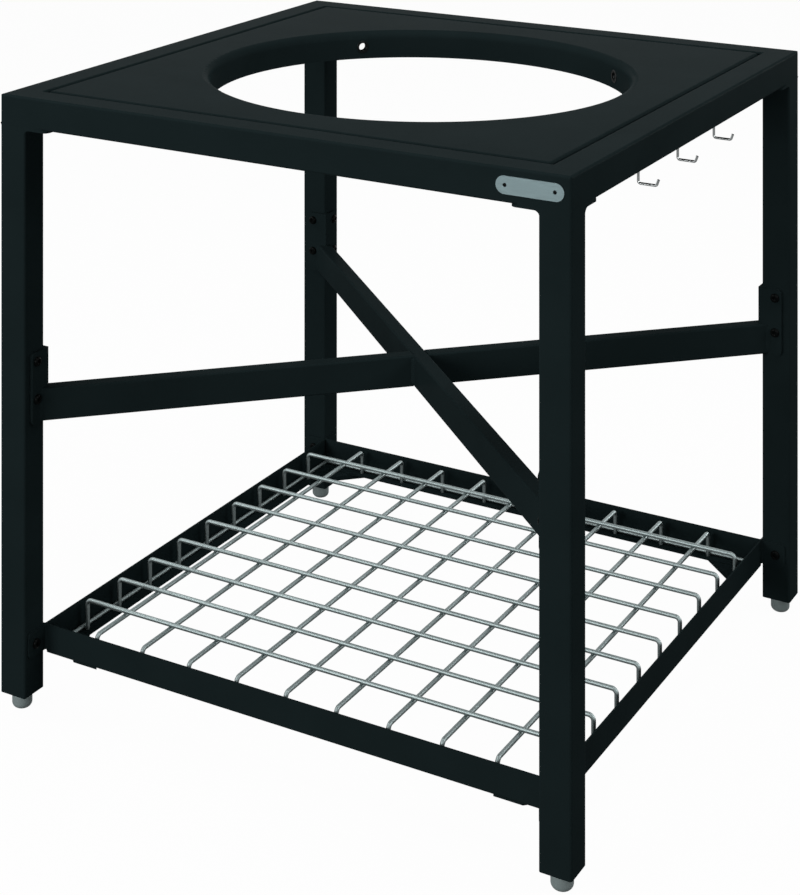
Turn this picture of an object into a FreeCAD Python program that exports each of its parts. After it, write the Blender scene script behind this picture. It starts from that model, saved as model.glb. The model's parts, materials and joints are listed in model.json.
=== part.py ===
import FreeCAD, Part
import math
import os

V = FreeCAD.Vector

# Kamado grill table in millimetres. X runs right along the front, Y to the back and Z up.
# The origin is on the floor under the middle of the table.

# Whole table
table_side = 760.0
table_height = 755.0

# Square steel tube of the legs and the top frame
tube_size = 38.0
tube_wall = 2.0
tube_round = 3.0

# Drop-in top panel with its turned-down collar
panel_gap = 4.0
panel_sheet = 2.5
panel_bend = 3.5
panel_skirt = 20.0
collar_radius = 270.0
collar_roll = 10.0
collar_depth = 37.5
collar_insert_drop = 21.0
collar_insert_count = 4

# Angle bars inside the top frame that the panel rests on
ledge_size = 15.0
ledge_sheet = 3.0
ledge_bend = 4.0
ledge_length = 600.0
ledge_seat_gap = 0.3

# Plates that join the legs to the top frame
head_plate_sheet = 3.0
head_tab_length = 33.5
head_tab_round = 8.0

# Flush threaded inserts and the button-head bolts that they hold
insert_length = 13.0
thread_clearance = 0.05
bolt_clearance = 0.4
frame_bolt_radius = 4.0
frame_bolt_head_radius = 7.0
frame_bolt_head_height = 4.4
frame_insert_radius = 5.5
small_bolt_radius = 3.0
small_bolt_head_radius = 6.0
small_bolt_head_height = 3.6
small_insert_radius = 4.5
collar_bolt_radius = 5.5
collar_insert_radius = 7.0
collar_insert_length = 10.0
bolt_grip = 9.0
bolt_head_rim = 1.2
bolt_head_flat = 0.6

# Cross brace of rectangular tube
brace_top = 391.5
brace_tube_height = 40.0
brace_tube_width = 20.0
brace_wall = 2.0
brace_round = 2.5

# Angle brackets that bolt the brace to the legs
bracket_sheet = 4.0
bracket_reach = 32.0
bracket_height = 88.0
bracket_edge_round = 1.0
bracket_root_round = 2.0
bracket_round = 6.0
bracket_low_bolt = 30.0
bracket_bolt_pitch = 46.5

# Shelf frame: four folded walls with ears at their ends
shelf_top = 98.0
shelf_height = 35.5
shelf_sheet = 2.0
shelf_lip = 22.0
shelf_lip_bend = 3.0
shelf_mitre_gap = 0.3
ear_reach = 32.0
ear_bend = 4.0
ear_rise = 4.5
ear_round = 5.0
ear_screw_height = 82.0

# Flat bars under the shelf's corners
gusset_sheet = 6.0
gusset_width = 25.0
gusset_setback = 47.0
gusset_inset = 8.0

# Lift-out wire grid
wire_radius = 2.75
wire_bend = 6.0
wire_rows = 9
wire_edge_cell = 58.8
wire_layer_gap = 0.05
grid_top = 104.25
grid_wall_gap = 2.6
grid_seat_gap = 0.3

# Tool hooks under the right rail
hook_wire_radius = 1.6
hook_bend = 3.0
hook_pitch = 126.0
hook_count = 3
hook_inset = 10.0
hook_drop = 30.2
hook_arm = 22.3
hook_tip_rise = 7.0
hook_tip_lean = 2.5
hook_insert_radius = 3.0
hook_insert_length = 10.0

# Bare plate riveted to the front rail
badge_length = 79.0
badge_height = 19.5
badge_sheet = 1.0
badge_inset = 47.5
badge_drop = 18.7
rivet_pitch = 58.0
rivet_radius = 1.2
rivet_head_radius = 2.2
rivet_head_height = 0.8
rivet_grip = 4.0

# Levelling feet: a glide turns on a stud, which screws into a plug in the leg
foot_height = 20.8
foot_radius = 12.4
foot_round = 7.0
foot_top_gap = 0.3
stud_radius = 5.0
stud_length = 38.0
stud_disc_radius = 8.5
stud_disc_height = 6.0
stud_clearance = 0.05
plug_length = 25.0
plug_clearance = 0.05

# Places that follow from the sizes above
half_side = table_side / 2
inner_face = half_side - tube_size
tube_axis = half_side - tube_size / 2
rail_under = table_height - tube_size
leg_top = rail_under - head_plate_sheet
frame_bolt_place = inner_face - head_tab_length / 2
bracket_face = inner_face - bracket_sheet
bracket_foot = brace_top - brace_tube_height
bracket_bolt_heights = [
    bracket_foot + bracket_low_bolt,
    bracket_foot + bracket_low_bolt + bracket_bolt_pitch,
]
shelf_foot = shelf_top - shelf_height
shelf_inside = inner_face - shelf_sheet
lip_top = shelf_foot + shelf_sheet
panel_half = inner_face - panel_gap
skirt_foot = table_height - panel_skirt
ledge_top = skirt_foot - ledge_seat_gap
rim_axis = shelf_inside - grid_wall_gap - wire_radius
drop_axis = rim_axis - 2 * wire_radius
wire_foot = lip_top + grid_seat_gap
wire_pitch = 2 * (drop_axis - wire_edge_cell) / (wire_rows - 1)
cross_wire_height = grid_top - wire_radius
long_wire_height = cross_wire_height - 2 * wire_radius - wire_layer_gap
hook_axis = inner_face + hook_inset
badge_middle = half_side - badge_inset
badge_height_above_floor = table_height - badge_drop
small_insert_hole = small_insert_radius + thread_clearance
frame_insert_hole = frame_insert_radius + thread_clearance
hook_insert_hole = hook_insert_radius + thread_clearance
collar_insert_hole = collar_insert_radius + thread_clearance
overshoot = 1.0

side_names = ["front", "right", "back", "left"]
corner_names = ["back_right", "back_left", "front_left", "front_right"]


# Shared shapes

def rounded_wire(corners, closed):
    """Join (point, radius) corners by straight edges and round each corner by its radius."""
    count = len(corners)
    turns = []
    for index, (here, radius) in enumerate(corners):
        is_end = not closed and index in (0, count - 1)
        if is_end or radius == 0:
            turns.append((here, here, None))
            continue
        back = (corners[index - 1][0] - here).normalize()
        ahead = (corners[(index + 1) % count][0] - here).normalize()
        half_angle = back.getAngle(ahead) / 2
        reach = radius / math.tan(half_angle)
        centre = here + (back + ahead).normalize() * (radius / math.sin(half_angle))
        middle = centre + (here - centre).normalize() * radius
        turns.append((here + back * reach, here + ahead * reach, middle))
    edges = []
    for index, (start, end, middle) in enumerate(turns):
        if middle is not None:
            edges.append(Part.Arc(start, middle, end).toShape())
        is_last = index == count - 1
        following = turns[(index + 1) % count][0]
        if not (is_last and not closed) and (following - end).Length > 1e-6:
            edges.append(Part.makeLine(end, following))
    return Part.Wire(edges)


def flat_plate(corners, low, high):
    """Extrude (x, y, radius) corners from the height low to the height high."""
    wire = rounded_wire([(V(x, y, low), radius) for x, y, radius in corners], True)
    return Part.Face(wire).extrude(V(0, 0, high - low))


def profile_along_x(corners, start, end):
    """Extrude (y, z, radius) corners along X."""
    wire = rounded_wire([(V(start, y, z), radius) for y, z, radius in corners], True)
    return Part.Face(wire).extrude(V(end - start, 0, 0))


def turned(corners):
    """Turn (distance from the axis, z, radius) corners once round Z."""
    wire = rounded_wire([(V(x, 0, z), radius) for x, z, radius in corners], True)
    return Part.Face(wire).revolve(V(0, 0, 0), V(0, 0, 1), 360)


def rectangle(width, depth, radius):
    """Corners of a rectangle round the origin."""
    return [
        (width / 2, depth / 2, radius),
        (-width / 2, depth / 2, radius),
        (-width / 2, -depth / 2, radius),
        (width / 2, -depth / 2, radius),
    ]


def tube(width, depth, wall, radius, length):
    """Rectangular tube standing on the origin."""
    outside = flat_plate(rectangle(width, depth, radius), 0, length)
    inner_corner = max(radius - wall, wall / 4)
    bore = rectangle(width - 2 * wall, depth - 2 * wall, inner_corner)
    return outside.cut(flat_plate(bore, -overshoot, length + overshoot))


def bent_wire(points, bend, radius):
    """Round wire through the points, bent at each inner one."""
    path = rounded_wire([(point, bend) for point in points], False)
    runs = []
    for edge in path.OrderedEdges:
        start = edge.valueAt(edge.FirstParameter)
        ahead = edge.tangentAt(edge.FirstParameter)
        if isinstance(edge.Curve, Part.Circle):
            disc = Part.Face(Part.Wire(Part.makeCircle(radius, start, ahead)))
            turn = math.degrees(edge.LastParameter - edge.FirstParameter)
            runs.append(disc.revolve(edge.Curve.Center, edge.Curve.Axis, turn))
        else:
            runs.append(Part.makeCylinder(radius, edge.Length, start, ahead))
    return runs[0].fuse(runs[1:])


def aimed(shape, place, direction):
    """Copy of a shape made along +Z, set at a place and turned to a direction."""
    copy = shape.copy()
    copy.Placement = FreeCAD.Placement(place, FreeCAD.Rotation(V(0, 0, 1), direction))
    return copy


def spun(shape, quarter):
    """Copy turned by quarter turns round the table's middle."""
    copy = shape.copy()
    copy.rotate(V(0, 0, 0), V(0, 0, 1), 90 * quarter)
    return copy


def all_round(shape):
    """The four copies of a shape, a quarter turn apart."""
    return [spun(shape, quarter) for quarter in range(4)]


def drilled(shape, radius, depth, holes):
    """Cut round holes that start a little before each (place, direction)."""
    for place, direction in holes:
        start = place - direction * overshoot
        shape = shape.cut(Part.makeCylinder(radius, depth + overshoot, start, direction))
    return shape


def button_bolt(radius, head_radius, head_height, grip):
    """Bolt with a low tapered head along +Z, the underside of its head at the origin."""
    return turned([
        (0, -head_height, 0),
        (head_radius * bolt_head_flat, -head_height, 0),
        (head_radius, -bolt_head_rim, 0),
        (head_radius, 0, 0),
        (radius, 0, 0),
        (radius, grip, 0),
        (0, grip, 0),
    ])


def threaded_insert(bolt_radius, radius, length):
    """Insert along +Z, pressed in flush with the face that its bolt comes through."""
    bore = bolt_radius + thread_clearance
    return turned([
        (bore, 0, 0),
        (radius, 0, 0),
        (radius, length, 0),
        (bore, length, 0),
    ])


# Where bolts go in at the back right corner, as (place, direction)

def inner_face_places(face, height):
    """The two places on a leg's inner faces, or on a bracket or ear that lies on them."""
    return [
        (V(face, tube_axis, height), V(1, 0, 0)),
        (V(tube_axis, face, height), V(0, 1, 0)),
    ]


def frame_bolt_places(height):
    """The two bolts that go up through a head plate into the rails."""
    return [
        (V(frame_bolt_place, tube_axis, height), V(0, 0, 1)),
        (V(tube_axis, frame_bolt_place, height), V(0, 0, 1)),
    ]


def collar_places():
    """Where inserts sit in the collar, between the sides of the table."""
    places = []
    for index in range(collar_insert_count):
        turn = 2 * math.pi * (index + 0.5) / collar_insert_count
        outward = V(math.cos(turn), math.sin(turn), 0)
        height = V(0, 0, table_height - collar_insert_drop)
        places.append((outward * collar_radius + height, outward))
    return places


def hook_places(height):
    """Where the hooks enter the right rail."""
    middle = (hook_count - 1) / 2
    return [
        (V(hook_axis, hook_pitch * (index - middle), height), V(0, 0, 1))
        for index in range(hook_count)
    ]


def rivet_places(depth):
    """Where the badge's rivets enter the front rail."""
    return [
        (V(badge_middle + side * rivet_pitch / 2, depth, badge_height_above_floor), V(0, 1, 0))
        for side in (-1, 1)
    ]


# Top frame

def top_rail():
    """Front rail with mitred ends and the holes for its head plate inserts."""
    rail = tube(tube_size, tube_size, tube_wall, tube_round, table_side)
    rail = aimed(rail, V(-half_side, -tube_axis, rail_under + tube_size / 2), V(1, 0, 0))
    mitre = [
        (-half_side, -half_side, 0),
        (half_side, -half_side, 0),
        (inner_face, -inner_face, 0),
        (-inner_face, -inner_face, 0),
    ]
    low = rail_under - overshoot
    high = table_height + overshoot
    outline = flat_plate(rectangle(table_side, table_side, tube_round), low, high)
    rail = rail.common(flat_plate(mitre, low, high)).common(outline)
    places = [
        (V(side * frame_bolt_place, -tube_axis, rail_under), V(0, 0, 1))
        for side in (-1, 1)
    ]
    return drilled(rail, frame_insert_hole, tube_wall + overshoot, places)


def top_rails():
    """The four rails, with the badge's holes in front and the hooks' holes on the right."""
    front, right, back, left = all_round(top_rail())
    rivet_hole = rivet_radius + thread_clearance
    front = drilled(front, rivet_hole, tube_wall + overshoot, rivet_places(-half_side))
    right = drilled(right, hook_insert_hole, tube_wall + overshoot, hook_places(rail_under))
    return [front, right, back, left]


def panel_ledge():
    """Angle bar on the front rail's inner face."""
    corners = [
        (-inner_face, ledge_top, ledge_bend),
        (-inner_face, ledge_top - ledge_size, 0),
        (-inner_face + ledge_sheet, ledge_top - ledge_size, 0),
        (-inner_face + ledge_sheet, ledge_top - ledge_sheet, ledge_bend - ledge_sheet),
        (-inner_face + ledge_size, ledge_top - ledge_sheet, 0),
        (-inner_face + ledge_size, ledge_top, 0),
    ]
    return profile_along_x(corners, -ledge_length / 2, ledge_length / 2)


def pressed_tray():
    """Square tray, open below, with its top edges bent over."""
    width = 2 * panel_half
    outside = flat_plate(rectangle(width, width, panel_bend), skirt_foot, table_height)
    top_edges = [edge for edge in outside.Edges if edge.BoundBox.ZMin > table_height - 1e-6]
    outside = outside.makeFillet(panel_bend, top_edges)
    inner_bend = panel_bend - panel_sheet
    inner_width = width - 2 * panel_sheet
    inner_top = table_height - panel_sheet
    inside = flat_plate(rectangle(inner_width, inner_width, inner_bend), skirt_foot, inner_top)
    inner_edges = [edge for edge in inside.Edges if edge.BoundBox.ZMin > inner_top - 1e-6]
    inside = inside.makeFillet(inner_bend, inner_edges)
    return outside.cut(inside)


def rolled_collar():
    """Ring that curls down from the panel's face into an upright wall."""
    edge = collar_radius + collar_roll
    low = table_height - collar_depth
    under = table_height - panel_sheet
    return turned([
        (collar_radius, low, 0),
        (collar_radius, table_height, collar_roll),
        (edge, table_height, 0),
        (edge, under, 0),
        (collar_radius + panel_sheet, under, collar_roll - panel_sheet),
        (collar_radius + panel_sheet, low, 0),
    ])


def top_panel():
    """Pressed panel whose round opening has a rolled collar with holes for its inserts."""
    opening = Part.makeCylinder(
        collar_radius + collar_roll,
        panel_skirt + 2 * overshoot,
        V(0, 0, skirt_foot - overshoot),
    )
    panel = pressed_tray().cut(opening).fuse(rolled_collar()).removeSplitter()
    return drilled(panel, collar_insert_hole, panel_sheet + overshoot, collar_places())


# Legs

def leg():
    """Back right leg with the holes for its inserts."""
    post = tube(tube_size, tube_size, tube_wall, tube_round, leg_top - foot_height)
    post = aimed(post, V(tube_axis, tube_axis, foot_height), V(0, 0, 1))
    for height in [ear_screw_height] + bracket_bolt_heights:
        places = inner_face_places(inner_face, height)
        post = drilled(post, small_insert_hole, tube_wall + overshoot, places)
    return post


def head_plate():
    """Plate welded on the back right leg, with a tab under each rail."""
    tab_end = inner_face - head_tab_length
    corners = [
        (half_side, half_side, tube_round),
        (tab_end, half_side, head_tab_round),
        (tab_end, inner_face, head_tab_round),
        (inner_face, inner_face, 0),
        (inner_face, tab_end, head_tab_round),
        (half_side, tab_end, head_tab_round),
    ]
    plate = flat_plate(corners, leg_top, rail_under)
    hole = frame_bolt_radius + bolt_clearance
    return drilled(plate, hole, head_plate_sheet + overshoot, frame_bolt_places(leg_top))


# Cross brace

def brace_arm(start, end):
    """Tube along the diagonal from start to end, measured from the table's middle."""
    arm = tube(brace_tube_height, brace_tube_width, brace_wall, brace_round, end - start)
    return aimed(arm, V(start, 0, brace_top - brace_tube_height / 2), V(1, 0, 0))


def notched(arm):
    """Cut the arm's far end to a V that fits round the bracket's bent edge."""
    wedge = Part.makeBox(
        brace_tube_width * 2,
        brace_tube_width * 2,
        brace_tube_height + 2 * overshoot,
        V(0, 0, bracket_foot - overshoot),
    )
    wedge.rotate(V(0, 0, 0), V(0, 0, 1), -45)
    wedge.translate(V(bracket_face * math.sqrt(2), 0, 0))
    return arm.cut(wedge)


def brace_arms():
    """One arm from corner to corner and two half arms that butt against it."""
    end = bracket_face * math.sqrt(2) + brace_tube_width / 2
    long_arm = notched(brace_arm(-end, end))
    long_arm.rotate(V(0, 0, 0), V(0, 0, 1), 180)
    long_arm = notched(long_arm)
    half_arm = notched(brace_arm(brace_tube_width / 2, end))
    long_arm.rotate(V(0, 0, 0), V(0, 0, 1), -45)
    half_arm.rotate(V(0, 0, 0), V(0, 0, 1), 45)
    return long_arm, half_arm, spun(half_arm, 2)


def brace_bracket():
    """Length of steel angle on the back right leg's two inner faces."""
    end = bracket_face + bracket_reach
    corners = [
        (bracket_face, bracket_face, bracket_edge_round),
        (end, bracket_face, 0),
        (end, inner_face, 0),
        (inner_face, inner_face, bracket_root_round),
        (inner_face, end, 0),
        (bracket_face, end, 0),
    ]
    plate = flat_plate(corners, bracket_foot, bracket_foot + bracket_height)
    free_corners = [
        edge for edge in plate.Edges
        if abs(edge.Length - bracket_sheet) < 1e-6 and edge.BoundBox.ZLength < 1e-6
    ]
    plate = plate.makeFillet(bracket_round, free_corners)
    hole = small_bolt_radius + bolt_clearance
    for height in bracket_bolt_heights:
        places = inner_face_places(bracket_face, height)
        plate = drilled(plate, hole, bracket_sheet + overshoot, places)
    return plate


# Shelf frame

def shelf_ear():
    """The end of the front wall: a bend outwards and a rounded ear on the leg."""
    start = inner_face - ear_bend
    end = -inner_face - ear_reach
    corners = [
        (start, -inner_face, 0),
        (start, -shelf_inside, 0),
        (inner_face, -shelf_inside, ear_bend),
        (inner_face, end, 0),
        (shelf_inside, end, 0),
        (shelf_inside, -inner_face, ear_bend - shelf_sheet),
    ]
    ear = flat_plate(corners, shelf_foot + ear_rise, shelf_top)
    tip_edges = [
        edge for edge in ear.Edges
        if edge.BoundBox.YMax < end + 1e-6 and abs(edge.Length - shelf_sheet) < 1e-6
    ]
    ear = ear.makeFillet(ear_round, tip_edges)
    hole = small_bolt_radius + bolt_clearance
    place = (V(shelf_inside, -tube_axis, ear_screw_height), V(1, 0, 0))
    return drilled(ear, hole, shelf_sheet + overshoot, [place])


def shelf_wall():
    """Front wall: a folded strip with a mitred lip, and an ear at each end."""
    corners = [
        (-inner_face, shelf_top, 0),
        (-inner_face, shelf_foot, shelf_lip_bend),
        (-inner_face + shelf_lip, shelf_foot, 0),
        (-inner_face + shelf_lip, lip_top, 0),
        (-shelf_inside, lip_top, shelf_lip_bend - shelf_sheet),
        (-shelf_inside, shelf_top, 0),
    ]
    end = inner_face - ear_bend
    strip = profile_along_x(corners, -end, end)
    mitre = [
        (-inner_face + shelf_mitre_gap, -inner_face, 0),
        (inner_face - shelf_mitre_gap, -inner_face, 0),
        (0, -shelf_mitre_gap, 0),
    ]
    strip = strip.common(flat_plate(mitre, shelf_foot - overshoot, shelf_top + overshoot))
    right_ear = shelf_ear()
    left_ear = right_ear.mirror(V(0, 0, 0), V(1, 0, 0))
    return strip.fuse([right_ear, left_ear]).removeSplitter()


def shelf_gusset():
    """Flat bar across the back right corner, under the lips, its ends cut in line with the walls."""
    end = inner_face - gusset_inset
    outer = 2 * inner_face - gusset_setback - end
    inner = outer - gusset_width * math.sqrt(2)
    corners = [
        (end, inner, 0),
        (end, outer, 0),
        (outer, end, 0),
        (inner, end, 0),
    ]
    return flat_plate(corners, shelf_foot - gusset_sheet, shelf_foot)


# Wire grid

def grid_wire(height):
    """Wire along X with both ends bent down to the shelf's lips."""
    points = [
        V(-drop_axis, 0, wire_foot),
        V(-drop_axis, 0, height),
        V(drop_axis, 0, height),
        V(drop_axis, 0, wire_foot),
    ]
    return bent_wire(points, wire_bend, wire_radius)


def wire_layer(height):
    """Row of parallel grid wires along X."""
    wire = grid_wire(height)
    middle = (wire_rows - 1) / 2
    layer = []
    for index in range(wire_rows):
        copy = wire.copy()
        copy.translate(V(0, wire_pitch * (index - middle), 0))
        layer.append(copy)
    return Part.makeCompound(layer)


def rim_wires():
    """Four straight wires round the bent-down ends, lying on the lips."""
    height = wire_foot + wire_radius
    long_half = rim_axis + wire_radius
    short_half = rim_axis - wire_radius - wire_layer_gap
    wires = []
    for side in (-1, 1):
        start = V(side * rim_axis, -long_half, height)
        wires.append(Part.makeCylinder(wire_radius, 2 * long_half, start, V(0, 1, 0)))
        start = V(-short_half, side * rim_axis, height)
        wires.append(Part.makeCylinder(wire_radius, 2 * short_half, start, V(1, 0, 0)))
    return Part.makeCompound(wires)


# Hooks and badge

def tool_hook():
    """Bent wire hook along Y = 0, screwed up into the right rail."""
    arm_height = rail_under - hook_drop
    elbow = hook_axis + hook_arm
    points = [
        V(hook_axis, 0, rail_under + hook_insert_length - hook_wire_radius),
        V(hook_axis, 0, arm_height),
        V(elbow, 0, arm_height),
        V(elbow + hook_tip_lean, 0, arm_height + hook_tip_rise),
    ]
    return bent_wire(points, hook_bend, hook_wire_radius)


def badge():
    """Bare plate with round ends and two rivet holes."""
    plate = flat_plate(rectangle(badge_length, badge_height, badge_height / 2), 0, badge_sheet)
    plate.rotate(V(0, 0, 0), V(1, 0, 0), 90)
    plate.translate(V(badge_middle, -half_side, badge_height_above_floor))
    hole = rivet_radius + thread_clearance
    places = rivet_places(-half_side - badge_sheet)
    return drilled(plate, hole, badge_sheet + overshoot, places)


def badge_rivet():
    """Small rivet with a tapered head along +Z, the underside of its head at the origin."""
    return turned([
        (0, -rivet_head_height, 0),
        (rivet_radius, -rivet_head_height, 0),
        (rivet_head_radius, 0, 0),
        (rivet_radius, 0, 0),
        (rivet_radius, rivet_grip, 0),
        (0, rivet_grip, 0),
    ])


# Levelling feet at the back right leg

def leg_plug():
    """Square plug pressed into the leg's foot, with the thread for the stud."""
    width = tube_size - 2 * (tube_wall + plug_clearance)
    corner = max(tube_round - tube_wall, tube_wall / 4)
    plug = flat_plate(rectangle(width, width, corner), foot_height, foot_height + plug_length)
    plug.translate(V(tube_axis, tube_axis, 0))
    place = (V(tube_axis, tube_axis, foot_height), V(0, 0, 1))
    return drilled(plug, stud_radius + stud_clearance, plug_length + overshoot, [place])


def foot_glide():
    """Round glide with a socket for the stud's disc."""
    top = foot_height - foot_top_gap
    socket = stud_disc_radius + stud_clearance
    floor = top - stud_disc_height - stud_clearance
    glide = turned([
        (0, 0, 0),
        (foot_radius, 0, foot_round),
        (foot_radius, top, 0),
        (socket, top, 0),
        (socket, floor, 0),
        (0, floor, 0),
    ])
    return aimed(glide, V(tube_axis, tube_axis, 0), V(0, 0, 1))


def foot_stud():
    """Threaded stud on the disc that turns in the glide."""
    top = foot_height - foot_top_gap
    low = top - stud_disc_height
    chamfer = stud_radius / 4
    stud = turned([
        (0, low, 0),
        (stud_disc_radius, low, 0),
        (stud_disc_radius, top, 0),
        (stud_radius, top, 0),
        (stud_radius, top + stud_length - chamfer, 0),
        (stud_radius - chamfer, top + stud_length, 0),
        (0, top + stud_length, 0),
    ])
    return aimed(stud, V(tube_axis, tube_axis, 0), V(0, 0, 1))


# Groups of equal fasteners

def corner_group(shape, places):
    """The same small piece at each place of all four corners."""
    pieces = []
    for place, direction in places:
        pieces.extend(all_round(aimed(shape, place, direction)))
    return Part.makeCompound(pieces)


def bracket_places(face):
    """Bolt places on one corner's bracket or on the leg behind it."""
    places = []
    for height in bracket_bolt_heights:
        places.extend(inner_face_places(face, height))
    return places


def group_at(shape, places):
    """The same small piece at each place."""
    return Part.makeCompound([aimed(shape, place, direction) for place, direction in places])


def fasteners():
    """Bolts, inserts and rivets by node name."""
    frame_bolt = button_bolt(
        frame_bolt_radius, frame_bolt_head_radius, frame_bolt_head_height,
        head_plate_sheet + bolt_grip,
    )
    bracket_bolt = button_bolt(
        small_bolt_radius, small_bolt_head_radius, small_bolt_head_height,
        bracket_sheet + bolt_grip,
    )
    shelf_screw = button_bolt(
        small_bolt_radius, small_bolt_head_radius, small_bolt_head_height,
        shelf_sheet + bolt_grip,
    )
    frame_insert = threaded_insert(frame_bolt_radius, frame_insert_radius, insert_length)
    small_insert = threaded_insert(small_bolt_radius, small_insert_radius, insert_length)
    hook_insert = threaded_insert(hook_wire_radius, hook_insert_radius, hook_insert_length)
    collar_insert = threaded_insert(
        collar_bolt_radius, collar_insert_radius, collar_insert_length
    )
    return {
        "frame_bolts": corner_group(frame_bolt, frame_bolt_places(leg_top)),
        "frame_inserts": corner_group(frame_insert, frame_bolt_places(rail_under)),
        "bracket_bolts": corner_group(bracket_bolt, bracket_places(bracket_face)),
        "bracket_inserts": corner_group(small_insert, bracket_places(inner_face)),
        "shelf_screws": corner_group(
            shelf_screw, inner_face_places(shelf_inside, ear_screw_height)
        ),
        "shelf_inserts": corner_group(
            small_insert, inner_face_places(inner_face, ear_screw_height)
        ),
        "hook_inserts": group_at(hook_insert, hook_places(rail_under)),
        "collar_inserts": group_at(collar_insert, collar_places()),
        "badge_rivets": group_at(badge_rivet(), rivet_places(-half_side - badge_sheet)),
    }


def build():
    """All pieces by node name."""
    nodes = {"top_panel": top_panel(), "badge_plate": badge()}
    for name, shape in zip(side_names, top_rails()):
        nodes["top_rail_" + name] = shape
    for stem, shape in [("panel_ledge_", panel_ledge()), ("shelf_wall_", shelf_wall())]:
        for name, copy in zip(side_names, all_round(shape)):
            nodes[stem + name] = copy
    at_corners = {
        "leg_": leg(),
        "head_plate_": head_plate(),
        "brace_bracket_": brace_bracket(),
        "shelf_gusset_": shelf_gusset(),
        "leg_plug_": leg_plug(),
        "foot_glide_": foot_glide(),
        "foot_stud_": foot_stud(),
    }
    for stem, shape in at_corners.items():
        for name, copy in zip(corner_names, all_round(shape)):
            nodes[stem + name] = copy
    long_arm, back_arm, front_arm = brace_arms()
    nodes["brace_long_arm"] = long_arm
    nodes["brace_half_arm_back_right"] = back_arm
    nodes["brace_half_arm_front_left"] = front_arm
    nodes["grid_cross_wires"] = wire_layer(cross_wire_height)
    nodes["grid_long_wires"] = spun(wire_layer(long_wire_height), 1)
    nodes["grid_rim_wires"] = rim_wires()
    hook = tool_hook()
    for index, (place, _) in enumerate(hook_places(0)):
        copy = hook.copy()
        copy.translate(V(0, place.y, 0))
        nodes["tool_hook_%d" % (index + 1)] = copy
    nodes.update(fasteners())
    return nodes


os.makedirs("parts", exist_ok=True)
for node_name, node_shape in build().items():
    node_shape.exportStep("parts/%s.step" % node_name)
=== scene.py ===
import json
import math

import bmesh
import bpy
from mathutils import Matrix, Vector


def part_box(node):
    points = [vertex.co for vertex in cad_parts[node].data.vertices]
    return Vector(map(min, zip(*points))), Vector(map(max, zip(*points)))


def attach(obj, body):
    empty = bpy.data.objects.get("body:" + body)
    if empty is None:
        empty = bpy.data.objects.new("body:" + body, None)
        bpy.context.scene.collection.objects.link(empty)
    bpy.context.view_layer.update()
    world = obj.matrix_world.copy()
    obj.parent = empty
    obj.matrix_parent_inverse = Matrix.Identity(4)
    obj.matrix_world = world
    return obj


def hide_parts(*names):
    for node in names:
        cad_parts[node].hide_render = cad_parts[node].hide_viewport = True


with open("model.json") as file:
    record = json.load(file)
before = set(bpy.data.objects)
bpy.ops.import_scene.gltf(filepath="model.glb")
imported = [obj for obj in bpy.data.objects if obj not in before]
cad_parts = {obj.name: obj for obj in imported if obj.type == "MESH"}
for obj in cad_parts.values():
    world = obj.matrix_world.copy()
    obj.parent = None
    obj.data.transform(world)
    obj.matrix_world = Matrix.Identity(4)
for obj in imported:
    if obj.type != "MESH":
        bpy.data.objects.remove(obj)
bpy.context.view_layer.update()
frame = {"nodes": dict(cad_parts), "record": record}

# Photograph: two upright vanishing lines stay parallel, so the view is level and the picture plane is upright
FOCAL_PX = 2063.7
PRINCIPAL_X = 311.7
HORIZON_Y = -364.0
IMAGE_SIZE = (800, 895)
SENSOR = 36.0
CAMERA_PLACE = Vector((1.2477, -2.3604, 1.3171))
VIEW_FORWARD = Vector((-0.5126, 0.8586, 0.0))
VIEW_RIGHT = Vector((0.8586, 0.5126, 0.0))
VIEW_UP = Vector((0.0, 0.0, 1.0))

# Surroundings: how white the world and the floor show, and how much light they give
WHITE = (1.0, 1.0, 1.0, 1.0)
WORLD_LEVEL = 0.02
FLOOR_SEEN = (0.8, 0.8, 0.8, 1.0)
FLOOR_BOUNCE = (0.12, 0.12, 0.12, 1.0)
FLOOR_WHITE = 0.975
FLOOR_MIRRORED = 0.25
FLOOR_REACH = 6.0
LAMP_AIM = (0, 0, 0.4)
LAMPS = (
    ("key", (-1.6, -3.6, 1.6), (1.6, 1.6), 59),
    ("front", (0.9, -3.8, 0.9), (1.6, 1.2), 34),
    ("top", (0.8, -0.2, 3.8), (1.6, 1.6), 38),
    ("right", (3.4, 0.8, 2.4), (1.6, 1.6), 39),
    ("left", (-2.8, -0.8, 3.2), (1.6, 1.6), 36),
    ("back", (1.6, 3.6, 0.7), (1.6, 1.0), 28),
)

# Materials: size of the wide cloud in the colour, and depth in metres of the fine relief
CLOUD_SCALE = 14.0
RELIEF_DEPTH = 0.0003

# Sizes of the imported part, in millimetres
MM = 0.001
HALF_SIDE = 380.0
TUBE_AXIS = 361
INNER_FACE = 342
TUBE_ROUND = 3
EAR_FACE = 340
BRACKET_FACE = 338
LEG_TOP = 714
FRAME_BOLT_PLACE = 325.25
BRACKET_BOLT_HEIGHTS = (381.5, 428)
EAR_SCREW_HEIGHT = 82
COLLAR_RADIUS = 270
COLLAR_INSERT_HEIGHT = 734
RIVET_PLACE = 29
BRACE_HALF_WIDTH = 10
BRACE_WELD_SPAN = (354, 389)
WIRE_RADIUS = 2.75
WIRE_ROWS = 9
DIAGONAL = math.sqrt(0.5)


def node(tree, kind, **inputs):
    """Add a shader node and set its plain inputs by name."""
    made = tree.nodes.new(kind)
    for name, value in inputs.items():
        made.inputs[name.replace("_", " ")].default_value = value
    return made


def new_material(name):
    """Material with an empty tree, its output and its Principled shader."""
    material = bpy.data.materials.new(name)
    material.use_nodes = True
    tree = material.node_tree
    tree.nodes.clear()
    output = tree.nodes.new("ShaderNodeOutputMaterial")
    shader = tree.nodes.new("ShaderNodeBsdfPrincipled")
    tree.links.new(shader.outputs[0], output.inputs[0])
    return material, tree, shader


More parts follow.
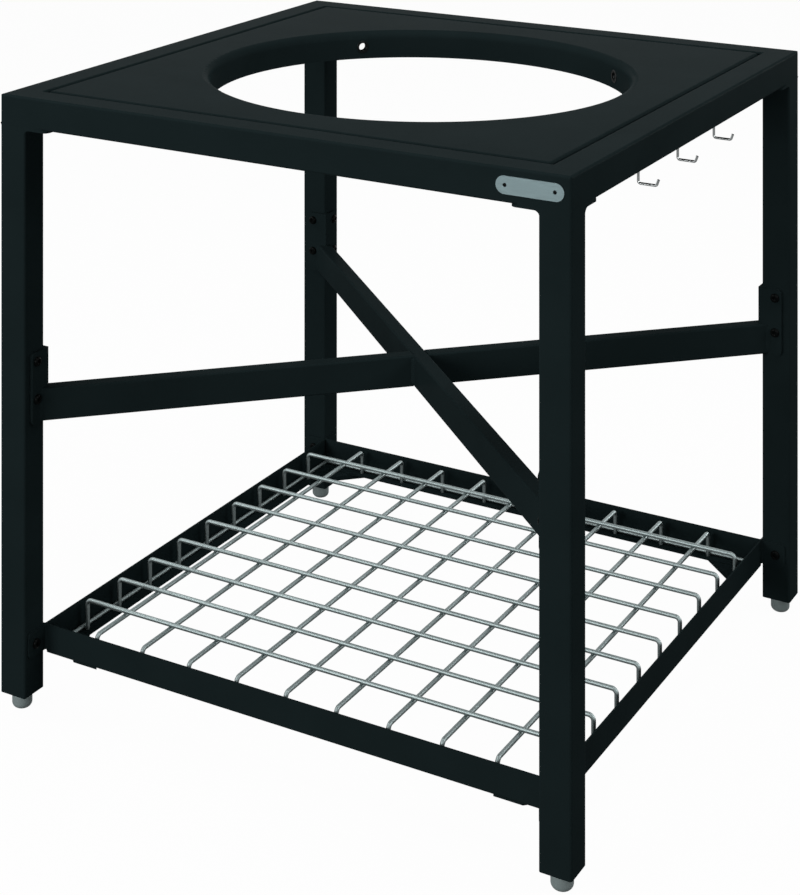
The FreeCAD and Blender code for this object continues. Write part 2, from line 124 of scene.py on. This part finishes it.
def mottled(name, dark, light, rough, grain, bump, metallic=0.0, ior=1.5, stretch=(1, 1, 1)):
    """Material whose colour, roughness and surface vary a little with noise.

    Colour goes from dark to light, roughness through rough. A low stretch draws the noise out, as
    brushing does."""
    material, tree, shader = new_material(name)
    shader.inputs["Metallic"].default_value = metallic
    shader.inputs["IOR"].default_value = ior
    where = tree.nodes.new("ShaderNodeTexCoord")
    wide = node(tree, "ShaderNodeTexNoise", Scale=CLOUD_SCALE, Detail=3.0)
    fine = node(tree, "ShaderNodeTexNoise", Scale=grain, Detail=2.0)
    drawn = node(tree, "ShaderNodeMapping", Scale=stretch)
    tree.links.new(where.outputs["Object"], drawn.inputs["Vector"])
    for texture in (wide, fine):
        tree.links.new(drawn.outputs["Vector"], texture.inputs["Vector"])
    colour = tree.nodes.new("ShaderNodeMix")
    colour.data_type = "RGBA"
    colour.inputs["A"].default_value = (*dark, 1)
    colour.inputs["B"].default_value = (*light, 1)
    tree.links.new(wide.outputs["Fac"], colour.inputs["Factor"])
    tree.links.new(colour.outputs["Result"], shader.inputs["Base Color"])
    spread = node(tree, "ShaderNodeMapRange", To_Min=rough[0], To_Max=rough[1])
    tree.links.new(fine.outputs["Fac"], spread.inputs["Value"])
    tree.links.new(spread.outputs["Result"], shader.inputs["Roughness"])
    relief = node(tree, "ShaderNodeBump", Strength=bump, Distance=RELIEF_DEPTH)
    tree.links.new(fine.outputs["Fac"], relief.inputs["Height"])
    tree.links.new(relief.outputs["Normal"], shader.inputs["Normal"])
    return material


SLOTS = {
    "black_steel": mottled(
        "powder_coat", (0.01, 0.017, 0.018), (0.014, 0.023, 0.0245),
        (0.26, 0.36), 900, 0.1, ior=1.015),
    "wire_zinc": mottled(
        "bright_zinc", (0.2, 0.24, 0.24), (0.26, 0.31, 0.31),
        (0.4, 0.5), 500, 0.02, metallic=1.0),
    "hook_chrome": mottled(
        "chrome", (0.5, 0.53, 0.53), (0.62, 0.65, 0.65),
        (0.07, 0.14), 300, 0.05, metallic=1.0),
    "badge_metal": mottled(
        "brushed_plate", (0.2, 0.28, 0.292), (0.265, 0.345, 0.362),
        (0.28, 0.44), 1500, 0.12, metallic=1.0, stretch=(0.06, 1, 1)),
    "dark_fastener": mottled(
        "black_bolt", (0.002, 0.0028, 0.0028), (0.004, 0.0052, 0.0052),
        (0.1, 0.16), 900, 0.03, ior=1.1),
    # Insert metal: a dark zinc tone, darkened further to near black as painted shade for the shade and dark
    # reflection inside the collar holes
    "insert_steel": mottled(
        "dark_zinc_insert_painted_shade", (0.008, 0.0095, 0.0095), (0.022, 0.025, 0.025),
        (0.25, 0.35), 700, 0.1, metallic=1.0),
    "stud_steel": mottled(
        "zinc_stud", (0.32, 0.33, 0.33), (0.42, 0.43, 0.43),
        (0.22, 0.36), 700, 0.1, metallic=1.0),
    "glide_plastic": mottled(
        "grey_glide", (0.21, 0.26, 0.26), (0.27, 0.33, 0.33),
        (0.38, 0.5), 900, 0.1),
    "plug_nylon": mottled(
        "black_nylon", (0.015, 0.015, 0.015), (0.02, 0.02, 0.02),
        (0.45, 0.6), 900, 0.1),
}
for part in frame["record"]["subparts"]:
    mesh = frame["nodes"][part["node"]].data
    mesh.materials.clear()
    mesh.materials.append(SLOTS[part["material_slot"]])


class Shape:
    """Points in millimetres and faces, which grow part by part."""

    def __init__(self):
        self.points = []
        self.faces = []

    def add(self, points, faces, move=None):
        start = len(self.points)
        move = move or Matrix.Identity(4)
        self.points += [move @ Vector(point) for point in points]
        self.faces += [tuple(start + index for index in face) for face in faces]

    def add_turned(self, points, faces, move=None):
        """The same part at all four corners of the table."""
        for quarter in range(4):
            spin = Matrix.Rotation(quarter * math.pi / 2, 4, "Z")
            self.add(points, faces, spin @ move if move else spin)

    def piece(self, name, slot, body, *nodes, sharp=35):
        """Mesh object that rides on a body and stands for the named nodes."""
        mesh = bpy.data.meshes.new(name)
        mesh.from_pydata([point * MM for point in self.points], [], self.faces)
        tidy = bmesh.new()
        tidy.from_mesh(mesh)
        bmesh.ops.recalc_face_normals(tidy, faces=tidy.faces)
        tidy.to_mesh(mesh)
        tidy.free()
        mesh.shade_smooth()
        mesh.set_sharp_from_angle(angle=math.radians(sharp))
        mesh.materials.append(SLOTS[slot])
        made = bpy.data.objects.new(name, mesh)
        bpy.context.collection.objects.link(made)
        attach(made, body)
        if nodes:
            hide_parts(*nodes)


def aimed(place, direction):
    """Move that takes +Z to a direction and the origin to a place."""
    turn = Vector(direction).to_track_quat("Z", "Y").to_matrix().to_4x4()
    return Matrix.Translation(Vector(place)) @ turn


def strip_faces(rows, columns, closed):
    """Four-sided faces between rows of points, whose columns may close to a ring."""
    faces = []
    for row in range(rows - 1):
        for column in range(columns if closed else columns - 1):
            after = (column + 1) % columns
            here, there = row * columns, (row + 1) * columns
            faces.append((here + column, here + after, there + after, there + column))
    return faces


def lathe(profile, sides=36):
    """Closed surface round +Z from (radius, height) points, or (radius, height, True) for a hexagon."""
    points = []
    for radius, height, *hexed in profile:
        for side in range(sides):
            angle = 2 * math.pi * side / sides
            reach = radius
            if hexed:
                reach = radius / math.cos(angle % (math.pi / 3) - math.pi / 6)
            points.append((reach * math.cos(angle), reach * math.sin(angle), height))
    faces = strip_faces(len(profile), sides, True)
    faces.append(tuple(range(sides)))
    faces.append(tuple(range(len(points) - sides, len(points))))
    return points, faces


def button_bolt(shank, head, height, grip, key):
    """Domed bolt along +Z with a hexagon socket, the underside of its head at 0."""
    rim, flat, steps = 0.5, 0.58 * head, 7
    profile = [(shank - 0.6, -grip), (shank, 0.6 - grip), (shank, 0), (head - 0.2, 0), (head, 0.2)]
    for step in range(steps + 1):
        angle = math.pi / 2 * step / steps
        profile.append((flat + (head - flat) * math.cos(angle), rim + (height - rim) * math.sin(angle)))
    mouth = key / math.sqrt(3)
    profile += [(mouth + 0.3, height), (key / 2, height - 0.3, True), (key / 2, height - 0.62 * key, True)]
    profile += [(key / 6, height - 0.7 * key)]
    return lathe(profile)


def make_bolts():
    """Socket bolts of the head plates, the brace brackets and the shelf ears."""
    large = button_bolt(4, 7, 4.4, 12, 5)
    small = button_bolt(3, 6, 3.6, 13, 4)
    screw = button_bolt(3, 6, 3.6, 11, 4)
    frame_bolts, bracket_bolts, shelf_screws = Shape(), Shape(), Shape()
    for x, y in ((FRAME_BOLT_PLACE, TUBE_AXIS), (TUBE_AXIS, FRAME_BOLT_PLACE)):
        frame_bolts.add_turned(*large, aimed((x, y, LEG_TOP), (0, 0, -1)))
    for height in BRACKET_BOLT_HEIGHTS:
        bracket_bolts.add_turned(*small, aimed((BRACKET_FACE, TUBE_AXIS, height), (-1, 0, 0)))
        bracket_bolts.add_turned(*small, aimed((TUBE_AXIS, BRACKET_FACE, height), (0, -1, 0)))
    shelf_screws.add_turned(*screw, aimed((EAR_FACE, TUBE_AXIS, EAR_SCREW_HEIGHT), (-1, 0, 0)))
    shelf_screws.add_turned(*screw, aimed((TUBE_AXIS, EAR_FACE, EAR_SCREW_HEIGHT), (0, -1, 0)))
    frame_bolts.piece("head_plate_bolts", "dark_fastener", "table", "frame_bolts")
    bracket_bolts.piece("brace_bolts", "dark_fastener", "table", "bracket_bolts")
    shelf_screws.piece("ear_screws", "dark_fastener", "table", "shelf_screws")


def make_rivets():
    """Blind rivets with a domed flange round the broken stem."""
    profile = [(1.1, -4.0), (1.2, -3.8), (1.2, 0), (2.15, 0), (2.2, 0.12), (2.05, 0.42), (1.6, 0.66)]
    profile += [(1.05, 0.78), (0.78, 0.78), (0.7, 0.5), (0.66, 0.42), (0.3, 0.5), (0.1, 0.52)]
    rivets = Shape()
    low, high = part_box("badge_plate")
    middle = (low + high) / 2 / MM
    for side in (-RIVET_PLACE, RIVET_PLACE):
        rivets.add(*lathe(profile, 24), aimed((middle.x + side, low.y / MM, middle.z), (0, -1, 0)))
    rivets.piece("plate_rivets", "dark_fastener", "table", "badge_rivets")


def threaded_ring(bore, depth, pitch, length, outer, lip, lip_radius):
    """Insert along +Z with a screw thread inside and a thin lip in front of 0."""
    sides, rows_per_turn = 36, 6
    rows = round(length / pitch * rows_per_turn)
    points = []
    for row in range(rows + 1):
        along = length - row * (length + lip) / rows
        for side in range(sides):
            turn = (along / pitch + side / sides) % 1
            groove = depth * min(1, 1.6 * (1 - abs(2 * turn - 1)))
            fade = min(1, (along + lip) / pitch, (length - along) / pitch + 0.2)
            radius = bore + groove * max(0, fade)
            angle = 2 * math.pi * side / sides
            points.append((radius * math.cos(angle), radius * math.sin(angle), along))
    outside = [(bore + 0.5, -lip), (lip_radius - 0.25, -lip), (lip_radius, -lip + 0.25), (lip_radius, 0)]
    outside += [(outer, 0), (outer, length - 0.4), (outer - 0.4, length)]
    for radius, along in outside:
        for side in range(sides):
            angle = 2 * math.pi * side / sides
            points.append((radius * math.cos(angle), radius * math.sin(angle), along))
    count = len(points) // sides
    faces = strip_faces(count, sides, True)
    last = (count - 1) * sides
    for side in range(sides):
        after = (side + 1) % sides
        faces.append((last + side, last + after, after, side))
    return points, faces


def make_collar_inserts():
    """Threaded inserts pressed into the collar, their lips on its inner face."""
    ring = threaded_ring(5.55, 0.55, 1.5, 10, 7, 0.8, 8.6)
    inserts = Shape()
    place = COLLAR_RADIUS * DIAGONAL
    inserts.add_turned(*ring, aimed((place, place, COLLAR_INSERT_HEIGHT), (1, 1, 0)))
    inserts.piece("collar_thread_rings", "insert_steel", "panel", "collar_inserts")


def fillet(path, size, hollow, ripple, soft_ends=(True, True), limit=HALF_SIDE):
    """Weld along a path of (corner point, first direction, second direction).

    The two directions lie in the faces that the weld joins. Hollow 0 is a deep scoop, 1 a full bead.
    No point goes past the limit in X or Y."""
    steps = 7
    lengths = [0.0]
    for (before, *_), (after, *_) in zip(path, path[1:]):
        lengths.append(lengths[-1] + (Vector(after) - Vector(before)).length)
    total = lengths[-1]
    points = []
    for place, (corner, first, second) in zip(lengths, path):
        distances = zip((place, total - place), soft_ends)
        near = min([distance for distance, soft in distances if soft] + [size])
        reach = size * (0.25 + 0.75 * math.sqrt(near / size)) * (1 + ripple * math.sin(2.4 * place))
        corner, first, second = Vector(corner), Vector(first), Vector(second)
        points.append(corner - (first + second) * 0.6)
        for step in range(steps):
            share = step / (steps - 1)
            pull = 2 * share * (1 - share) * hollow + (1 - share) ** 2
            rise = 2 * share * (1 - share) * hollow + share ** 2
            points.append(corner + (first * pull + second * rise) * reach)
    for point in points:
        point.x = max(-limit, min(limit, point.x))
        point.y = max(-limit, min(limit, point.y))
    columns = steps + 1
    faces = strip_faces(len(path), columns, True)
    faces.append(tuple(range(columns)))
    faces.append(tuple(range(len(points) - columns, len(points))))
    return points, faces


def straight(start, end, first, second, pitch=0.9):
    """Path of a straight weld."""
    start, end = Vector(start), Vector(end)
    count = max(6, round((end - start).length / pitch))
    return [(start.lerp(end, index / count), first, second) for index in range(count + 1)]


def mirrored(part):
    """The same part on the other side of the corner's diagonal."""
    points, faces = part
    return [(point[1], point[0], point[2]) for point in points], faces


def make_frame_welds():
    """Welds between the legs and the tabs above them, dressed flush outside."""
    down = (0, 0, -1)
    centre = INNER_FACE + TUBE_ROUND
    bend = HALF_SIDE - TUBE_ROUND
    start, end = (INNER_FACE, INNER_FACE + 1.5, LEG_TOP), (INNER_FACE, bend, LEG_TOP)
    path = straight(start, end, (-1, 0, 0), down)
    for step in range(1, 7):
        angle = math.pi / 2 * step / 6
        normal = (-math.cos(angle), math.sin(angle), 0)
        corner = (centre + TUBE_ROUND * normal[0], bend + TUBE_ROUND * normal[1], LEG_TOP)
        path.append((corner, normal, down))
    part = fillet(path, 5.2, 0.18, 0.015, (True, False), 379.96)
    welds = Shape()
    welds.add_turned(*part)
    welds.add_turned(*mirrored(part))
    welds.piece("leg_head_welds", "black_steel", "table")


def make_seam_fill():
    """Filler between each head plate's edge and the rails' rounded lower edges."""
    outline = []
    for x in (311.5, 313, 315, 318, 330, 345, 360, 377):
        depth = min(3.0, max(0.0, (318 - x) * 0.5))
        outline.append(((x, 379.97 - depth), (x, 379.97 - depth)))
    for step in range(1, 8):
        angle = math.pi / 2 * step / 8
        across, along = math.sin(angle), math.cos(angle)
        most = max(across, along)
        round_point = (376.97 + 3 * across, 376.97 + 3 * along)
        square_point = (376.97 + 3 * across / most, 376.97 + 3 * along / most)
        outline.append((round_point, square_point))
    outline += [tuple((y, x) for x, y in pair) for pair in reversed(outline[:8])]
    points = []
    for round_point, square_point in outline:
        points.append((*round_point, 716.6))
        points.append((*square_point, 720.3))
        points.append((square_point[0] - 1.5, square_point[1] - 1.5, 720.3))
        points.append((round_point[0] - 1.5, round_point[1] - 1.5, 716.6))
    faces = strip_faces(len(outline), 4, True)
    faces += [(0, 1, 2, 3), tuple(range(len(points) - 4, len(points)))]
    fill = Shape()
    fill.add_turned(points, faces)
    fill.piece("head_plate_seams", "black_steel", "table")


def make_brace_welds():
    """Upright welds where the brace arms meet each other and the brackets."""
    welds = Shape()
    low, high = BRACE_WELD_SPAN
    out, left = (DIAGONAL, DIAGONAL, 0), (-DIAGONAL, DIAGONAL, 0)
    right, back = (DIAGONAL, -DIAGONAL, 0), (-DIAGONAL, -DIAGONAL, 0)
    middle = BRACE_HALF_WIDTH / DIAGONAL
    inner_corners = ((middle, 0, out, right), (0, middle, out, left),
                     (-middle, 0, back, left), (0, -middle, back, right))
    for x, y, first, second in inner_corners:
        path = straight((x, y, low), (x, y, high), first, second)
        welds.add(*fillet(path, 3.6, 0.62, 0.07))
    end = BRACKET_FACE + middle
    path = straight((BRACKET_FACE, end, low), (BRACKET_FACE, end, high), back, (0, 1, 0))
    part = fillet(path, 3.4, 0.6, 0.07)
    welds.add_turned(*part)
    welds.add_turned(*mirrored(part))
    welds.piece("brace_welds", "black_steel", "table")


def make_lower_welds():
    """Short welds of the corner bars under the shelf and of the panel's ledges."""
    welds = Shape()
    down, inward = (0, 0, -1), (-DIAGONAL, -DIAGONAL, 0)
    outward = (DIAGONAL, DIAGONAL, 0)
    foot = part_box("shelf_wall_front")[0].z / MM
    bar_edges = (((333, 268.64), (319, 282.64), inward), ((333, 304), (320, 317), outward))
    for start, end, first in bar_edges:
        part = fillet(straight((*start, foot), (*end, foot), first, down), 2.6, 0.62, 0.08)
        welds.add_turned(*part)
        welds.add_turned(*mirrored(part))
    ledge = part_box("panel_ledge_back")[0].z / MM
    for start in (-220, -20, 180):
        path = straight((start, INNER_FACE, ledge), (start + 40, INNER_FACE, ledge), (0, -1, 0), down)
        welds.add_turned(*fillet(path, 2.6, 0.62, 0.08))
    welds.piece("lower_welds", "black_steel", "table")


def crossing_spot(radius, reach, sides=20):
    """Small weld between a wire along X that lies on a wire along Y, touching at the origin."""
    points = [(0, 0, -0.6)]
    for level in (-1, -0.35, 0.35, 1):
        for side in range(sides):
            angle = 2 * math.pi * side / sides
            swell = reach * (1.0 if abs(level) == 1 else 1.12)
            x, y = swell * math.cos(angle), swell * math.sin(angle)
            under = math.sqrt(radius ** 2 - x ** 2) - radius - 0.12
            over = radius - math.sqrt(radius ** 2 - y ** 2) + 0.12
            points.append((x, y, under + (over - under) * (level + 1) / 2))
    points.append((0, 0, 0.6))
    faces = []
    for row in range(3):
        for side in range(sides):
            after = (side + 1) % sides
            here, there = 1 + row * sides, 1 + (row + 1) * sides
            faces.append((here + side, here + after, there + after, there + side))
    for side in range(sides):
        after = (side + 1) % sides
        faces.append((0, 1 + after, 1 + side))
        faces.append((len(points) - 1, 1 + 3 * sides + side, 1 + 3 * sides + after))
    return points, faces


def make_grid_welds():
    """Resistance welds at every crossing of the wire grid and along its rim."""
    cross_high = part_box("grid_cross_wires")[1]
    long_low, long_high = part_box("grid_long_wires")
    rim_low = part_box("grid_rim_wires")[0]
    pitch = ((long_high.x - long_low.x) / MM - 2 * WIRE_RADIUS) / (WIRE_ROWS - 1)
    touch = (long_high.z / MM + cross_high.z / MM) / 2 - WIRE_RADIUS
    spots = Shape()
    spot = crossing_spot(WIRE_RADIUS, 1.9)
    places = [pitch * (row - (WIRE_ROWS - 1) / 2) for row in range(WIRE_ROWS)]
    for x in places:
        for y in places:
            spots.add(*spot, Matrix.Translation((x, y, touch)))
    drop = long_high.y / MM
    rim = rim_low.z / MM + WIRE_RADIUS
    for place in places:
        upright = Matrix.Translation((place, drop, rim)) @ Matrix.Rotation(-math.pi / 2, 4, "X")
        spots.add_turned(*spot, upright)
    spots.piece("grid_spot_welds", "wire_zinc", "wire_grid")


def seen_share(tree, camera_share, other_share):
    """How much of the plain white shows to the camera, and to mirrors and glass."""
    path = tree.nodes.new("ShaderNodeLightPath")
    mirror = tree.nodes.new("ShaderNodeMath")
    mirror.operation = "MAXIMUM"
    tree.links.new(path.outputs["Is Glossy Ray"], mirror.inputs[0])
    tree.links.new(path.outputs["Is Transmission Ray"], mirror.inputs[1])
    part = tree.nodes.new("ShaderNodeMath")
    part.operation = "MULTIPLY"
    part.inputs[1].default_value = other_share
    tree.links.new(mirror.outputs[0], part.inputs[0])
    total = tree.nodes.new("ShaderNodeMath")
    total.operation = "MULTIPLY_ADD"
    total.inputs[1].default_value = camera_share
    tree.links.new(path.outputs["Is Camera Ray"], total.inputs[0])
    tree.links.new(part.outputs[0], total.inputs[2])
    return total.outputs[0]


def make_stage():
    """Pale floor and white surroundings."""
    world = bpy.data.worlds.new("surroundings")
    bpy.context.scene.world = world
    world.use_nodes = True
    tree = world.node_tree
    tree.nodes.clear()
    output = tree.nodes.new("ShaderNodeOutputWorld")
    plain = node(tree, "ShaderNodeBackground", Color=WHITE, Strength=WORLD_LEVEL)
    bright = node(tree, "ShaderNodeBackground", Color=WHITE, Strength=1.0)
    mix = tree.nodes.new("ShaderNodeMixShader")
    tree.links.new(seen_share(tree, 1.0, 1.0), mix.inputs[0])
    tree.links.new(plain.outputs[0], mix.inputs[1])
    tree.links.new(bright.outputs[0], mix.inputs[2])
    tree.links.new(mix.outputs[0], output.inputs[0])

    mesh = bpy.data.meshes.new("floor")
    reach = FLOOR_REACH
    corners = [(-reach, -reach, 0), (reach, -reach, 0), (reach, reach, 0), (-reach, reach, 0)]
    mesh.from_pydata(corners, [], [(0, 1, 2, 3)])
    floor = bpy.data.objects.new("floor", mesh)
    bpy.context.collection.objects.link(floor)
    material, tree, shader = new_material("pale_floor")
    path = tree.nodes.new("ShaderNodeLightPath")
    shade = tree.nodes.new("ShaderNodeMix")
    shade.data_type = "RGBA"
    shade.inputs["A"].default_value = FLOOR_BOUNCE
    shade.inputs["B"].default_value = FLOOR_SEEN
    tree.links.new(path.outputs["Is Camera Ray"], shade.inputs["Factor"])
    tree.links.new(shade.outputs["Result"], shader.inputs["Base Color"])
    shader.inputs["Roughness"].default_value = 0.9
    shader.inputs["Specular IOR Level"].default_value = 0.0
    output = tree.nodes["Material Output"]
    white = node(tree, "ShaderNodeEmission", Color=WHITE, Strength=1.0)
    mix = tree.nodes.new("ShaderNodeMixShader")
    tree.links.new(seen_share(tree, FLOOR_WHITE, FLOOR_MIRRORED), mix.inputs[0])
    tree.links.new(shader.outputs[0], mix.inputs[1])
    tree.links.new(white.outputs[0], mix.inputs[2])
    tree.links.new(mix.outputs[0], output.inputs[0])
    mesh.materials.append(material)


def area_light(name, place, aim, size, power):
    """Soft rectangular lamp that faces a point."""
    data = bpy.data.lights.new(name, "AREA")
    data.shape = "RECTANGLE"
    data.size, data.size_y = size
    data.energy = power
    lamp = bpy.data.objects.new(name, data)
    bpy.context.collection.objects.link(lamp)
    lamp.location = place
    lamp.rotation_euler = (Vector(aim) - Vector(place)).to_track_quat("-Z", "Y").to_euler()


def make_camera():
    """Level camera whose picture plane is upright, as in the photograph."""
    across = IMAGE_SIZE[0] / 2 - PRINCIPAL_X
    down = IMAGE_SIZE[1] / 2 - HORIZON_Y
    middle_ray = VIEW_FORWARD * FOCAL_PX + VIEW_RIGHT * across - VIEW_UP * down
    backward = -middle_ray.normalized()
    data = bpy.data.cameras.new("photo_camera")
    data.sensor_fit = "AUTO"
    data.sensor_width = SENSOR
    data.lens = SENSOR * middle_ray.length / IMAGE_SIZE[1]
    camera = bpy.data.objects.new("photo_camera", data)
    bpy.context.collection.objects.link(camera)
    mount = bpy.data.objects.new("camera_mount", None)
    bpy.context.collection.objects.link(mount)
    camera.parent = mount
    oblique = Matrix.Identity(4)
    for row in range(3):
        oblique[row][0] = VIEW_RIGHT[row]
        oblique[row][1] = VIEW_UP[row]
        oblique[row][2] = backward[row]
        oblique[row][3] = CAMERA_PLACE[row]
    camera.matrix_parent_inverse = oblique
    bpy.context.scene.camera = camera


make_stage()
for lamp_name, lamp_place, lamp_size, lamp_power in LAMPS:
    area_light(lamp_name, lamp_place, LAMP_AIM, lamp_size, lamp_power)
make_camera()

make_bolts()
make_rivets()
make_collar_inserts()
make_frame_welds()
make_seam_fill()
make_brace_welds()
make_lower_welds()
make_grid_welds()

bpy.context.scene.view_settings.view_transform = "Standard"
